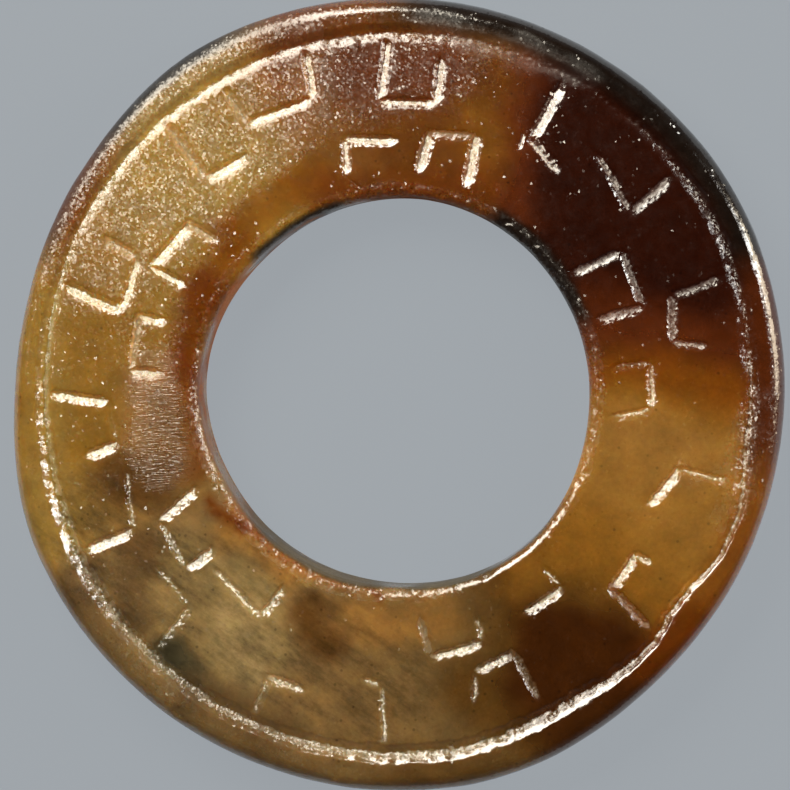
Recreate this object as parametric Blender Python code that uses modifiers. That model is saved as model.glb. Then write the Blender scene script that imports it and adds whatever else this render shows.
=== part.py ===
"""A jade ring: a flat disc with a wide bore, ground and carved by hand.

The ring lies on its plain back with its axis along Z. Its carved face looks up. A line cut near the
edge parts a narrow rim from the field, and two rows of hooked strokes stand against each other on
the field. The outer row hangs from the rim, and the inner row stands on the edge of the bore.
Lengths are in metres. Angles are in degrees, counted from +X towards +Y.
"""

import math
from collections import namedtuple

import bmesh
import bpy
import numpy as np
from mathutils import Vector

# The blank: a full disc before any hand grinding
OUTER_RADIUS = 0.0292
BORE_RADIUS = 0.0140
THICKNESS = 0.0050

# Rounded edges, each as the width of its quarter round
FACE_EDGE_ROUND = 0.0014
BACK_EDGE_ROUND = 0.0011
FACE_BORE_ROUND = 0.00085
BACK_BORE_ROUND = 0.0005

# The flat of the rim, and the line that parts it from the field: an uneven V, wider on the rim's side
RIM_FLAT = 0.0007
LINE_DEPTH = 0.00038
LINE_RIM_SIDE = 0.0009
LINE_FIELD_SIDE = 0.0006
# The field falls a little from the bore towards that line
FIELD_FALL = 0.00012

# The hooked strokes
STROKE_WIDTH = 0.00068
STROKE_DEPTH = 0.00032
STROKE_RUN_OUT = 0.0004

# Where hand grinding left the circles: direction, depth and how far it spreads to each side
Hollow = namedtuple("Hollow", "direction depth spread")
OUTLINE_FLATS = (
    Hollow(148, 0.00080, 30),
    Hollow(175, 0.00095, 30),
    Hollow(322, 0.00100, 45),
    Hollow(0, 0.00085, 38),
    Hollow(40, 0.00055, 50),
    Hollow(85, 0.00035, 45),
)
LINE_DRIFTS = (
    Hollow(4, 0.00055, 24),
    Hollow(180, 0.00030, 35),
    Hollow(300, 0.00055, 26),
    Hollow(324, 0.00080, 11),
    Hollow(351, 0.00040, 11),
)
BORE_SWELLS = (
    Hollow(80, 0.00018, 55),
    Hollow(175, 0.00038, 44),
    Hollow(308, 0.00045, 50),
)

# A place across the field is a share, 0 at the bore's edge and 1 at the line.
# An outer hook: a long leg comes in from the rim to its foot, the foot runs round to a free end,
# and a short free leg may turn back towards the rim.
OuterHook = namedtuple("OuterHook", "rim_angle rim foot_angle foot end_angle end tip_angle tip")
OUTER_ROW = (
    OuterHook(20, 0.90, 20, 0.57, 11, 0.51, 9, 0.74),
    OuterHook(38.5, 0.92, 38, 0.59, 50, 0.69, 50, 0.69),
    OuterHook(62, 0.95, 62.5, 0.54, 54, 0.45, 54, 0.45),
    OuterHook(91.5, 0.96, 93.5, 0.57, 82.5, 0.57, 82.5, 0.85),
    OuterHook(105, 0.97, 106, 0.66, 119, 0.68, 119.5, 0.93),
    OuterHook(130.5, 0.96, 131.5, 0.55, 122.5, 0.50, 122.5, 0.50),
    OuterHook(162, 0.95, 163, 0.55, 152.5, 0.58, 152, 0.82),
    OuterHook(180, 0.95, 181.5, 0.56, 190, 0.53, 191, 0.75),
    OuterHook(206.5, 0.94, 207, 0.61, 195.5, 0.51, 195.5, 0.51),
    OuterHook(226.5, 0.96, 225.5, 0.60, 215.5, 0.60, 215.5, 0.60),
    OuterHook(245.5, 0.96, 245.5, 0.69, 252.5, 0.69, 252.5, 0.69),
    OuterHook(268, 0.96, 267, 0.56, 263, 0.53, 263, 0.53),
    OuterHook(295, 0.88, 294.5, 0.51, 286, 0.54, 284, 0.75),
    OuterHook(317.5, 0.93, 318, 0.54, 326.5, 0.55, 326.5, 0.69),
    OuterHook(345.5, 0.90, 345.5, 0.56, 336.5, 0.44, 336.5, 0.44),
)
# An inner hook: a bar across, with a leg from either end back towards the bore. A leg that
# ends where its bar does is left out.
InnerHook = namedtuple("InnerHook", "foot_angle foot bar_angle bar end_angle end tip_angle tip")
INNER_ROW = (
    InnerHook(7.5, 0.09, 7.5, 0.35, -3, 0.35, -6, 0.08),
    InnerHook(20.5, 0.06, 20, 0.37, 32.5, 0.40, 35, 0.06),
    InnerHook(72, 0.09, 73, 0.42, 83, 0.37, 84.5, 0.12),
    InnerHook(90, 0.31, 90, 0.31, 101.5, 0.36, 103, 0.13),
    InnerHook(139.5, 0.21, 140.5, 0.43, 152.5, 0.47, 153, 0.21),
    InnerHook(162.5, 0.24, 163, 0.43, 175, 0.41, 175, 0.20),
    InnerHook(205, 0.12, 208, 0.43, 219.5, 0.45, 220, 0.24),
    InnerHook(224, 0.32, 224, 0.32, 238.5, 0.37, 239.5, 0.12),
    InnerHook(276, 0.12, 277.5, 0.38, 289, 0.36, 290, 0.19),
    InnerHook(300.5, 0.30, 300.5, 0.30, 311, 0.30, 310.5, 0.11),
)

# How finely the round shapes are stepped
TURN_STEPS = 120
EDGE_STEPS = 4
FIELD_SHARES = (0.3, 0.6, 0.8)

# No rounding takes more than this share of the thickness
MOST_ROUND_SHARE = 0.4

JADE_COLOUR = (0.27, 0.12, 0.03, 1.0)
JADE_ROUGHNESS = 0.25

LINE_RADIUS = OUTER_RADIUS - FACE_EDGE_ROUND - RIM_FLAT - LINE_RIM_SIDE
FIELD_START = BORE_RADIUS + min(FACE_BORE_ROUND, MOST_ROUND_SHARE * THICKNESS)


def new_collection(name):
    """Makes an empty collection in the scene."""
    collection = bpy.data.collections.new(name)
    bpy.context.scene.collection.children.link(collection)
    return collection


def quarter_round(corner, into, width, start):
    """Points round a corner from the side that start names, 'face' or 'wall', to the other one.

    corner is the sharp corner as radius and height, and into points from it to the inside.
    """
    width = min(width, MOST_ROUND_SHARE * THICKNESS)
    centre = (corner[0] + into[0] * width, corner[1] + into[1] * width)
    points = []
    for step in range(EDGE_STEPS + 1):
        turn = math.pi / 2 * step / EDGE_STEPS
        along, across = math.sin(turn) * width, math.cos(turn) * width
        if start == "wall":
            along, across = across, along
        points.append((centre[0] - into[0] * along, centre[1] - into[1] * across))
    return points


def field_radius(share):
    """The radius at this share of the way from the bore's edge to the line."""
    return FIELD_START + (LINE_RADIUS - FIELD_START) * share


def field_height(share):
    """The height of the field there, without the line's own V."""
    return THICKNESS - FIELD_FALL * share**2


def section():
    """The ring's section at +X as radius and height: down the outer side, in under the back,
    up the bore and out over the carved face."""
    points = quarter_round((OUTER_RADIUS, THICKNESS), (-1, -1), FACE_EDGE_ROUND, "face")
    points += quarter_round((OUTER_RADIUS, 0), (-1, 1), BACK_EDGE_ROUND, "wall")
    points += quarter_round((BORE_RADIUS, 0), (1, 1), BACK_BORE_ROUND, "face")
    points += quarter_round((BORE_RADIUS, THICKNESS), (1, -1), FACE_BORE_ROUND, "wall")
    points += [(field_radius(share), field_height(share)) for share in FIELD_SHARES]
    shoulder = 1 - LINE_FIELD_SIDE / (LINE_RADIUS - FIELD_START)
    points.append((field_radius(shoulder), field_height(shoulder)))
    points.append((LINE_RADIUS, THICKNESS - LINE_DEPTH))
    points.append((LINE_RADIUS + LINE_RIM_SIDE, THICKNESS))
    return points


def turned_ring():
    """Turns the section about the ring's axis and returns the mesh."""
    mesh = bpy.data.meshes.new("section")
    points = section()
    edges = [(i, (i + 1) % len(points)) for i in range(len(points))]
    mesh.from_pydata([(radius, 0, height) for radius, height in points], edges, [])
    profile = bpy.data.objects.new("section", mesh)
    bpy.context.scene.collection.objects.link(profile)
    screw = profile.modifiers.new("turn", "SCREW")
    screw.axis = "Z"
    screw.angle = math.tau
    screw.steps = screw.render_steps = TURN_STEPS
    screw.use_merge_vertices = True
    screw.merge_threshold = 0.000001
    graph = bpy.context.evaluated_depsgraph_get()
    turned = bpy.data.meshes.new_from_object(profile.evaluated_get(graph))
    bpy.data.objects.remove(profile)
    bpy.data.meshes.remove(mesh)
    return turned


def hollow_at(angle, hollows):
    """The depth that these hollows add up to in this direction."""
    depth = 0.0
    for hollow in hollows:
        away = abs((angle - hollow.direction + 180) % 360 - 180)
        if away < hollow.spread:
            depth += hollow.depth * math.cos(math.pi / 2 * away / hollow.spread) ** 2
    return depth


def ground_radius(radius, angle):
    """Where hand grinding moved a point of the true disc, as a new radius."""
    shift = np.interp(
        radius,
        (BORE_RADIUS, LINE_RADIUS, OUTER_RADIUS),
        (
            hollow_at(angle, BORE_SWELLS),
            -hollow_at(angle, LINE_DRIFTS),
            -hollow_at(angle, OUTLINE_FLATS),
        ),
    )
    return radius + float(shift)


def grind(mesh):
    """Moves each point of the turned ring in or out, as the hand-ground outline, line and bore run."""
    for vertex in mesh.vertices:
        radius = math.hypot(vertex.co.x, vertex.co.y)
        angle = math.degrees(math.atan2(vertex.co.y, vertex.co.x))
        scale = ground_radius(radius, angle) / radius
        vertex.co.x *= scale
        vertex.co.y *= scale


def on_field(angle, share):
    """The point of the carved face in this direction, at this share across the field."""
    radius = ground_radius(field_radius(share), angle)
    turn = math.radians(angle)
    return Vector((radius * math.cos(turn), radius * math.sin(turn), field_height(share)))


def cut_wedge(name, start, end):
    """A wedge with its keel down, to cut one straight V stroke between two points of the face."""
    along = (end - start).normalized()
    across = along.cross(Vector((0, 0, 1))).normalized()
    # The wedge is as tall above the face as it is deep, so its top is twice as wide.
    lift = Vector((0, 0, STROKE_DEPTH))
    mesh = bpy.data.meshes.new(name)
    shape = bmesh.new()
    for point, outwards in ((start, -1), (end, 1)):
        run_out = along * outwards * min(STROKE_RUN_OUT, (end - start).length / 3)
        for side in (-1, 1):
            shape.verts.new(point + run_out + across * side * STROKE_WIDTH + lift)
        shape.verts.new(point - run_out - lift)
    bmesh.ops.convex_hull(shape, input=shape.verts)
    bmesh.ops.recalc_face_normals(shape, faces=shape.faces)
    shape.to_mesh(mesh)
    shape.free()
    cutter = bpy.data.objects.new(name, mesh)
    cutter.hide_render = True
    cutter.display_type = "WIRE"
    return cutter


def hook_strokes(hook):
    """A hook's strokes as pairs of points: its four turning points joined in order."""
    places = list(zip(hook[0::2], hook[1::2]))
    points = [on_field(angle, share) for angle, share in places]
    return [
        (start, end)
        for start, end in zip(points, points[1:])
        if (end - start).length > STROKE_WIDTH
    ]


def jade():
    """Polished brown jade in one even colour."""
    material = bpy.data.materials.new("jade")
    material.use_nodes = True
    shader = material.node_tree.nodes["Principled BSDF"]
    shader.inputs["Base Color"].default_value = JADE_COLOUR
    shader.inputs["Roughness"].default_value = JADE_ROUGHNESS
    shader.inputs["Metallic"].default_value = 0.0
    material.diffuse_color = JADE_COLOUR
    return material


def make_ring(collection, cutters):
    """The whole ring, carved and centred over the origin with its back at height 0."""
    mesh = turned_ring()
    mesh.name = "jade_ring"
    grind(mesh)
    mesh.materials.append(jade())
    mesh.shade_smooth()
    mesh.set_sharp_from_angle(angle=math.radians(30))
    ring = bpy.data.objects.new("jade_ring", mesh)
    collection.objects.link(ring)
    low, high = Vector(ring.bound_box[0]), Vector(ring.bound_box[6])
    middle = (low + high) / 2
    ring.location = (-middle.x, -middle.y, 0)
    for row, hooks in (("outer", OUTER_ROW), ("inner", INNER_ROW)):
        for count, hook in enumerate(hooks, 1):
            for stroke, (start, end) in enumerate(hook_strokes(hook), 1):
                cutter = cut_wedge(f"cut_{row}_{count}_{stroke}", start, end)
                cutter.parent = ring
                cutters.objects.link(cutter)
    carve = ring.modifiers.new("carve", "BOOLEAN")
    carve.operation = "DIFFERENCE"
    carve.operand_type = "COLLECTION"
    carve.collection = cutters
    return ring


def main():
    for thing in list(bpy.data.objects):
        bpy.data.objects.remove(thing)
    make_ring(new_collection("jade ring"), new_collection("stroke cutters"))


main()
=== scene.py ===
# %% [markdown]
# # A carved jade ring
# This lesson dresses one small thing: an old jade ring, cut from a single stone, ground round by
# hand, carved on one face and polished. The CAD part already has its true outline, its edges and its
# main cuts. What it lacks is everything that a hand and a long life leave on a stone, so we build a
# finer skin in the same place: uneven strokes, soft edges, small chips, clouds of colour and gloss.

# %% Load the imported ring
import math
from collections import namedtuple

import bpy
import numpy as np
from mathutils import Matrix, Vector


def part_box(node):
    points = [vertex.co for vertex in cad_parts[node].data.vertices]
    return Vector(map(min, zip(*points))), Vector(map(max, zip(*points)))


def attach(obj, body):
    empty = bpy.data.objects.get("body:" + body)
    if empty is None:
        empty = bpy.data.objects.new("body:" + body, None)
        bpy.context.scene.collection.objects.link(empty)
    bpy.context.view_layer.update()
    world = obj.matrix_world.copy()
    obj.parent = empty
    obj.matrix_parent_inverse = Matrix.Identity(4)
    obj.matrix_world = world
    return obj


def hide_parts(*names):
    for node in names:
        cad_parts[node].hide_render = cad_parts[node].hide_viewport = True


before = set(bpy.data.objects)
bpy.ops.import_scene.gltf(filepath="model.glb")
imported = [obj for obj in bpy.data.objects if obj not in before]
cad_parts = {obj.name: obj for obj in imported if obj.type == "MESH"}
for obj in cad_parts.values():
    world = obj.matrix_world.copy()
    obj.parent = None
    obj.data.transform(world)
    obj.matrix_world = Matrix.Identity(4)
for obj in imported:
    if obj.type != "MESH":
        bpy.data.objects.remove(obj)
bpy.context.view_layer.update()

MM = 0.001
ring_low, ring_high = (np.array(corner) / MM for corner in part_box("jade_ring"))
ring_middle = (ring_low + ring_high) / 2
print("the packed ring is", (ring_high - ring_low).round(2), "mm")

# %% [markdown]
# ## The blank
# The ring began as a flat disc with a hole. These are the sizes that the CAD part is turned from, in
# millimetres here because a hand-sized thing is easier to think about that way. The disc was then
# ground by eye, so its outline, the line near its edge and its bore all wander. Each wander is a
# hollow: a direction, a depth and how far it spreads to each side.

# %% Sizes of the turned disc, in millimetres
OUTER_RADIUS = 29.2
BORE_RADIUS = 14.0
THICKNESS = 5.0
FACE_EDGE_ROUND = 1.4
BACK_EDGE_ROUND = 1.1
FACE_BORE_ROUND = 0.85
BACK_BORE_ROUND = 0.5
RIM_FLAT = 0.7
LINE_DEPTH = 0.32
LINE_RIM_SIDE = 0.9
LINE_FIELD_SIDE = 0.6
FIELD_FALL = 0.12
LINE_RADIUS = OUTER_RADIUS - FACE_EDGE_ROUND - RIM_FLAT - LINE_RIM_SIDE
FIELD_START = BORE_RADIUS + FACE_BORE_ROUND
print("the field runs from", FIELD_START, "to", round(LINE_RADIUS, 2), "mm out")

# %% Where hand grinding left the circles
Hollow = namedtuple("Hollow", "direction depth spread")
OUTLINE_FLATS = (
    Hollow(148, 0.80, 30),
    Hollow(175, 0.95, 30),
    Hollow(322, 1.00, 45),
    Hollow(0, 0.85, 38),
    Hollow(40, 0.55, 50),
    Hollow(85, 0.35, 45),
)
LINE_DRIFTS = (
    Hollow(4, 0.55, 24),
    Hollow(180, 0.30, 35),
    Hollow(300, 0.55, 26),
    Hollow(324, 0.80, 11),
    Hollow(351, 0.40, 11),
)
BORE_SWELLS = (Hollow(80, 0.18, 55), Hollow(175, 0.38, 44), Hollow(308, 0.45, 50))


def turned_away(angles, direction):
    """How many degrees each angle is from this direction, from -180 to 180."""
    return (angles - direction + 180) % 360 - 180


def hollow_depth(angles, hollows):
    """What these hollows add up to at each angle."""
    depth = np.zeros_like(angles)
    for hollow in hollows:
        away = np.minimum(np.abs(turned_away(angles, hollow.direction)) / hollow.spread, 1)
        depth += hollow.depth * np.cos(np.pi / 2 * away) ** 2
    return depth


def ground_radius(radii, angles):
    """Where hand grinding moved points of the true disc, as new radii."""
    bore = hollow_depth(angles, BORE_SWELLS)
    line = -hollow_depth(angles, LINE_DRIFTS)
    edge = -hollow_depth(angles, OUTLINE_FLATS)
    to_line = np.clip((radii - BORE_RADIUS) / (LINE_RADIUS - BORE_RADIUS), 0, 1)
    to_edge = np.clip((radii - LINE_RADIUS) / (OUTER_RADIUS - LINE_RADIUS), 0, 1)
    return radii + bore + (line - bore) * to_line + (edge - line) * to_edge


def field_radius(share):
    """The radius this share of the way from the bore's edge, 0, to the line, 1."""
    return FIELD_START + (LINE_RADIUS - FIELD_START) * share


print("the middle of the field is", round(field_radius(0.5), 2), "mm out")

# %% [markdown]
# ## Where the ring lies
# The CAD part is centred on its own outline, which isn't a circle, so the bore's axis is a little off
# the origin. We find that axis from the outline itself, and measure everything about it.

# %% The bore's axis
around = np.radians(np.arange(0, 360, 0.25))
edge_radius = ground_radius(np.full_like(around, OUTER_RADIUS), np.degrees(around))
outline = np.column_stack((np.cos(around), np.sin(around))) * edge_radius[:, None]
axis = ring_middle[:2] - (outline.min(axis=0) + outline.max(axis=0)) / 2
print("the bore's axis is at", axis.round(3), "mm")

# %% [markdown]
# ## Noise for a hand-made surface
# Nothing on an old stone is even. This helper gives every point of space a value from -1 to 1 that
# changes smoothly, with bumps about one grain across. It looks the corners of a lattice up in a
# seeded table, so the ring comes out the same each time.

# %% A lattice noise
TABLE_SIZE = 4096
LATTICE_STEPS = np.array((73856093, 19349663, 83492791))


def noise(points, grain, seed):
    """Smooth noise at these points, from about -1 to 1, with bumps one grain across."""
    table = np.random.default_rng(seed).uniform(-1, 1, TABLE_SIZE)
    cells = np.floor(points / grain)
    parts = points / grain - cells
    parts = parts * parts * (3 - 2 * parts)
    cells = cells.astype(np.int64)
    total = np.zeros(len(points))
    for corner in np.ndindex(2, 2, 2):
        keys = (cells + corner) * LATTICE_STEPS
        values = table[(keys[:, 0] ^ keys[:, 1] ^ keys[:, 2]) % TABLE_SIZE]
        total += values * np.prod(np.where(corner, parts, 1 - parts), axis=1)
    return total


def smooth_step(values):
    """Eases values from 0 to 1 with no corner at either end, and holds them outside that."""
    values = np.clip(values, 0, 1)
    return values * values * (3 - 2 * values)


print("a quarter of the way, an eased value is", smooth_step(0.25))

# %% [markdown]
# ## The strokes
# Each stroke was cut with a small wheel fed with grit, so it is a shallow V with soft shoulders and a
# ragged floor, and it runs out at both ends. The outer row hangs from the rim: a long leg, a foot
# that runs round, and sometimes a short free leg. The inner row stands on the bore: a bar with legs.
# The turning points are the CAD part's own. The three numbers after them say how strongly each of
# the three strokes was cut, where 1 is a full stroke and 0 is none.

# %% The hooks of both rows
OuterHook = namedtuple("OuterHook", "rim_angle rim foot_angle foot end_angle end tip_angle tip force")
OUTER_ROW = (
    OuterHook(20, 0.90, 20, 0.57, 11, 0.51, 9, 0.74, (0.7, 0.8, 0.75)),
    OuterHook(38.5, 0.92, 38, 0.59, 50, 0.69, 50, 0.69, (0.8, 0.8, 0)),
    OuterHook(62, 0.95, 62.5, 0.54, 54, 0.45, 54, 0.45, (1.0, 1.0, 0)),
    OuterHook(91.5, 0.96, 93.5, 0.57, 82.5, 0.57, 82.5, 0.85, (1.0, 0.9, 1.1)),
    OuterHook(105, 0.97, 106, 0.66, 119, 0.68, 119.5, 0.93, (1.2, 1.0, 1.1)),
    OuterHook(130.5, 0.96, 131.5, 0.55, 122.5, 0.50, 122.5, 0.50, (1.2, 1.3, 0)),
    OuterHook(162, 0.95, 163, 0.55, 152.5, 0.58, 152, 0.82, (1.5, 1.0, 1.0)),
    OuterHook(180, 0.95, 181.5, 0.56, 190, 0.53, 191, 0.75, (1.1, 0.6, 1.1)),
    OuterHook(206.5, 0.94, 207, 0.61, 195.5, 0.51, 195.5, 0.51, (1.1, 0.7, 0)),
    OuterHook(226.5, 0.96, 225.5, 0.60, 215.5, 0.60, 215.5, 0.60, (0.7, 0.75, 0)),
    OuterHook(245.5, 0.96, 245.5, 0.69, 252.5, 0.69, 252.5, 0.69, (0.7, 1.0, 0)),
    OuterHook(268, 0.96, 267, 0.56, 263, 0.53, 263, 0.53, (0.75, 0.7, 0)),
    OuterHook(295, 0.88, 294.5, 0.51, 286, 0.54, 284, 0.75, (0.8, 1.0, 0.7)),
    OuterHook(317.5, 0.93, 318, 0.54, 326.5, 0.55, 326.5, 0.69, (0.8, 1.2, 0.9)),
    OuterHook(345.5, 0.90, 345.5, 0.56, 336.5, 0.44, 336.5, 0.44, (0.7, 1.1, 0)),
)
InnerHook = namedtuple("InnerHook", "foot_angle foot bar_angle bar end_angle end tip_angle tip force")
INNER_ROW = (
    InnerHook(7.5, 0.09, 7.5, 0.35, -3, 0.35, -6, 0.08, (0.6, 0.8, 0.7)),
    InnerHook(20.5, 0.06, 20, 0.37, 32.5, 0.40, 35, 0.06, (0.8, 0.85, 0.8)),
    InnerHook(72, 0.09, 73, 0.42, 83, 0.37, 84.5, 0.12, (1.3, 0.7, 1.3)),
    InnerHook(90, 0.31, 90, 0.31, 101.5, 0.36, 103, 0.13, (0, 1.0, 0.8)),
    InnerHook(139.5, 0.21, 140.5, 0.43, 152.5, 0.47, 153, 0.21, (1.0, 1.3, 1.0)),
    InnerHook(162.5, 0.24, 163, 0.43, 175, 0.41, 175, 0.20, (1.0, 0.9, 1.1)),
    InnerHook(205, 0.12, 208, 0.43, 219.5, 0.45, 220, 0.24, (1.0, 0.8, 1.1)),
    InnerHook(224, 0.32, 224, 0.32, 238.5, 0.37, 239.5, 0.12, (0, 0.85, 0.85)),
    InnerHook(276, 0.12, 277.5, 0.38, 289, 0.36, 290, 0.19, (0.7, 1.0, 0.7)),
    InnerHook(300.5, 0.30, 300.5, 0.30, 311, 0.30, 310.5, 0.11, (0, 1.1, 0.7)),
)
print(len(OUTER_ROW), "outer hooks and", len(INNER_ROW), "inner hooks")

# %% Turn the hooks into straight strokes
Stroke = namedtuple("Stroke", "start end width depth")
STROKE_WIDTH = 0.98
STROKE_DEPTH = 0.25
STROKE_RUN_OUT = 1.05


def on_field(angle, share):
    """The point of the face in this direction, at this share across the field, about the axis."""
    radius = ground_radius(np.array([field_radius(share)]), np.array([float(angle)]))[0]
    turn = math.radians(angle)
    return np.array((radius * math.cos(turn), radius * math.sin(turn)))


def hook_strokes(hook):
    """The strokes of one hook. A stronger stroke is a little wider as well as deeper."""
    corners = [on_field(angle, share) for angle, share in zip(hook[0:8:2], hook[1:8:2])]
    strokes = []
    for start, end, force in zip(corners, corners[1:], hook.force):
        if force:
            width = STROKE_WIDTH * (0.6 + 0.4 * force)
            strokes.append(Stroke(start, end, width, STROKE_DEPTH * min(force, force**1.7)))
    return strokes


SCRATCHES = (
    Stroke(on_field(103, 0.12), on_field(99.6, 0.01), 0.25, 0.08),
    Stroke(on_field(63.5, 0.44), on_field(63.8, 0.55), 0.45, 0.13),
)
strokes = [stroke for hook in OUTER_ROW + INNER_ROW for stroke in hook_strokes(hook)]
strokes += SCRATCHES
print(len(strokes), "strokes to cut")

# %% [markdown]
# ## The skin of the ring
# One mesh covers the whole ring. A row of points runs once round the section, and every row is
# repeated at each step of the turn. The rows lie close together on the carved face and far apart on
# the plain back. A modifier could carve this too, but with the points in an array each cut is a
# short formula, and the same arrays can be read again for the colours.

# %% The section as rows of points
FACE_STEP = 0.09
ARC_POINTS = 14
WALL_STEP = 0.35
BACK_STEP = 0.8


def spaced(start, end, step):
    """Even steps from start to end, without the end itself."""
    return np.linspace(start, end, max(2, round(abs(end - start) / step)), endpoint=False)


def rounded(centre, width, first, last):
    """An arc of this width about a centre, given as radius and height, between two angles."""
    turns = np.radians(np.linspace(first, last, ARC_POINTS, endpoint=False))
    return np.column_stack((centre[0] + width * np.cos(turns), centre[1] + width * np.sin(turns)))


def upright(radius, start, end):
    """A straight wall at this radius, from one height to another."""
    heights = spaced(start, end, WALL_STEP)
    return np.column_stack((np.full_like(heights, radius), heights))


def level(height, start, end, step):
    """A flat stretch at this height, from one radius to another."""
    radii = spaced(start, end, step)
    return np.column_stack((radii, np.full_like(radii, height)))


face_edge = OUTER_RADIUS - FACE_EDGE_ROUND
back_edge = OUTER_RADIUS - BACK_EDGE_ROUND
section = np.vstack(
    (
        level(THICKNESS, FIELD_START, face_edge, FACE_STEP),
        rounded((face_edge, THICKNESS - FACE_EDGE_ROUND), FACE_EDGE_ROUND, 90, 0),
        upright(OUTER_RADIUS, THICKNESS - FACE_EDGE_ROUND, BACK_EDGE_ROUND),
        rounded((back_edge, BACK_EDGE_ROUND), BACK_EDGE_ROUND, 0, -90),
        level(0, back_edge, BORE_RADIUS + BACK_BORE_ROUND, BACK_STEP),
        rounded((BORE_RADIUS + BACK_BORE_ROUND, BACK_BORE_ROUND), BACK_BORE_ROUND, 270, 180),
        upright(BORE_RADIUS, BACK_BORE_ROUND, THICKNESS - FACE_BORE_ROUND),
        rounded((FIELD_START, THICKNESS - FACE_BORE_ROUND), FACE_BORE_ROUND, 180, 90),
    )
)
TURN_STEPS = 1800
turns = np.arange(TURN_STEPS) * 360 / TURN_STEPS
radii, angles = np.meshgrid(section[:, 0], turns)
heights = np.broadcast_to(section[:, 1], radii.shape)
radii, angles, heights = radii.ravel(), angles.ravel(), heights.ravel()
print(len(section), "rows,", len(radii), "points")

# %% [markdown]
# ## The line near the rim
# The field falls a little towards the line. The line itself is a V, wider on the rim's side, and it
# was cut freehand: its place, its depth and its width waver, and on some stretches it is shallow,
# narrow or rough. Those stretches are hollows too. All cuts only lower the face, so the ring stays
# inside its CAD outline.

# %% Where the line is shallow, narrow or rough
LINE_SHALLOWS = (
    Hollow(135, 0.45, 90),
    Hollow(62, 0.8, 50),
    Hollow(14, 0.5, 34),
    Hollow(350, 0.4, 42),
    Hollow(318, 0.3, 26),
)
LINE_NARROWS = (Hollow(328, 0.55, 26), Hollow(30, 0.2, 30))
LINE_ROUGH = (Hollow(294, 0.14, 40), Hollow(352, 0.06, 26))
LINE_WAVER = 0.07
LINE_RAGGED = 0.11
LINE_SHOULDER = 0.08
print("the line has", len(LINE_SHALLOWS), "shallow and", len(LINE_NARROWS), "narrow stretches")

# %% The falling field and the line
ground = ground_radius(radii, angles)
flat_points = np.column_stack(
    (ground * np.cos(np.radians(angles)), ground * np.sin(np.radians(angles)), heights)
)
on_face = smooth_step((heights - THICKNESS + FACE_BORE_ROUND) / FACE_BORE_ROUND)
field_share = np.clip((radii - FIELD_START) / (LINE_RADIUS - FIELD_START), 0, 1)
line_away = radii - LINE_RADIUS + LINE_WAVER * noise(flat_points, 2.2, 11)
line_away += LINE_RAGGED * noise(flat_points, 0.5, 12)
narrowed = 1 - hollow_depth(angles, LINE_NARROWS)
line_side = np.where(line_away > 0, LINE_RIM_SIDE * narrowed, LINE_FIELD_SIDE + LINE_SHOULDER)
line_share = np.clip(1 - np.abs(line_away) / line_side, 0, 1)
line_force = 1 + 0.25 * noise(flat_points, 3.0, 13) - hollow_depth(angles, LINE_SHALLOWS)
line_force += 0.2 * noise(flat_points, 0.9, 14)
line_cut = LINE_DEPTH * line_force * (0.5 * line_share + 0.5 * smooth_step(line_share))
before_line = smooth_step((LINE_RADIUS + LINE_RIM_SIDE - radii) / LINE_RIM_SIDE)
field_fall = FIELD_FALL * field_share**2 * before_line
print("the line is up to", round(float(line_cut.max()), 2), "mm deep")

# %% [markdown]
# ## Cutting the strokes
# A stroke is deepest along its middle and runs out towards its ends, as a wheel leaves the stone.
# Noise moves its edge to and fro in small steps, and bows the whole stroke a little.

# %% Cut every stroke
RAGGED_EDGE = 0.075
RAGGED_GRAIN = 0.3
BOW_GRAIN = 2.0
BOW = 0.10
# Where the wheel leaned over, it left the wall on the lower right of each stroke wider.
WHEEL_LEAN = 0.5
LOWER_RIGHT = np.array((1, -1)) / math.sqrt(2)


def cut_depth(points, ragged, stroke):
    """How deep this stroke cuts at each point: a V across, and the boat shape of a wheel along."""
    run = stroke.end - stroke.start
    length = np.hypot(*run)
    run = run / length
    side = np.array((-run[1], run[0]))
    away = points[:, :2] - stroke.start
    along = away @ run
    across = away @ side + ragged
    run_out = min(STROKE_RUN_OUT, 0.55 * length)
    ends = smooth_step(0.4 + along / run_out) * smooth_step(0.4 + (length - along) / run_out)
    lean = 1 + WHEEL_LEAN * np.sign(across) * (side @ LOWER_RIGHT)
    reach = stroke.width / 2 * lean * (0.55 + 0.45 * ends) + 0.001
    wall = np.clip(1 - np.abs(across) / reach, 0, 1)
    return stroke.depth * ends * (0.7 * wall + 0.3 * smooth_step(wall))


ragged = RAGGED_EDGE * (noise(flat_points, RAGGED_GRAIN, 21) + noise(flat_points, RAGGED_GRAIN / 2, 22))
ragged += BOW * noise(flat_points, BOW_GRAIN, 23)
stroke_cut = np.zeros_like(radii)
for stroke in strokes:
    middle = (stroke.start + stroke.end) / 2
    reach = np.hypot(*(stroke.end - stroke.start)) / 2 + stroke.width + STROKE_RUN_OUT
    near = (np.hypot(*(flat_points[:, :2] - middle).T) < reach) & (on_face > 0)
    depth = cut_depth(flat_points[near], ragged[near], stroke)
    stroke_cut[near] = np.maximum(stroke_cut[near], depth)
print("strokes are up to", round(float(stroke_cut.max()), 2), "mm deep")

# %% [markdown]
# ## Wear
# The grit left the floor of every cut rough, and the polish followed the stone's grain, so the whole
# surface rolls a little. The edge of the bore is worn in small dents, except at the lower right,
# where it is still crisp. Knocks took small chips from the edges. Each is added as a height, and
# only where it belongs.

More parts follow.
